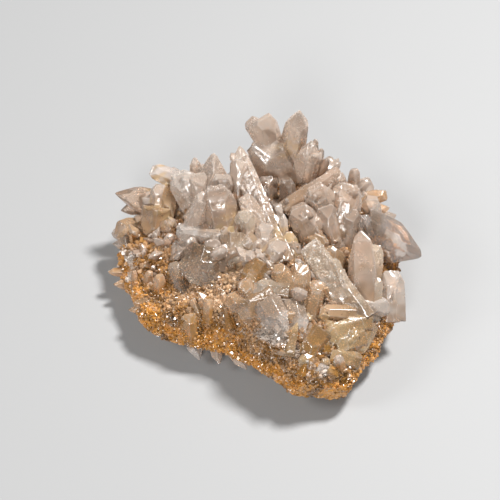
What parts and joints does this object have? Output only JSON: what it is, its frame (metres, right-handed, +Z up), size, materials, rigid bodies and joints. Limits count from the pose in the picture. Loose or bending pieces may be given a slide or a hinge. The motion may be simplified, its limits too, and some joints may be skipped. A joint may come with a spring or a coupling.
{
  "type": "celestite cluster",
  "caption": "Cluster of pale blocky and bladed celestite crystals in sprays on a lumpy ochre-stained matrix, which rests on a small flat spot underneath.",
  "frame": {"origin": "centre of the flat spot under the matrix, which the cluster rests on", "axes": "+Z up, +X along the cluster's length to the right as seen from its front, -Y towards the front"},
  "size_m": [0.0978, 0.0828, 0.0483],
  "materials": {
    "stained_matrix": "matte",
    "pale_crystal": "satin",
    "clear_crystal": "gloss",
    "tan_crystal": "satin"
  },
  "bodies": {
    "root": {"matrix": "stained_matrix", "crown_spray": "pale_crystal", "left_ridge_spray": "pale_crystal", "left_point_spray": "clear_crystal", "left_rim_spray": "tan_crystal", "centre_left_spray": "pale_crystal", "long_lath_spray": "pale_crystal", "glass_block_spray": "clear_crystal", "nook_spray": "pale_crystal", "ball_spray": "pale_crystal", "right_back_spray": "pale_crystal", "right_point_spray": "clear_crystal", "leaf_spray": "pale_crystal", "front_blade_spray": "pale_crystal", "right_chunk_spray": "pale_crystal", "pillar_spray": "tan_crystal", "brown_glass_spray": "tan_crystal", "tan_slab_spray": "tan_crystal", "front_pale_spray": "tan_crystal", "back_left_spray": "pale_crystal", "back_middle_spray": "pale_crystal", "back_right_spray": "pale_crystal"}
  },
  "joints": []
}
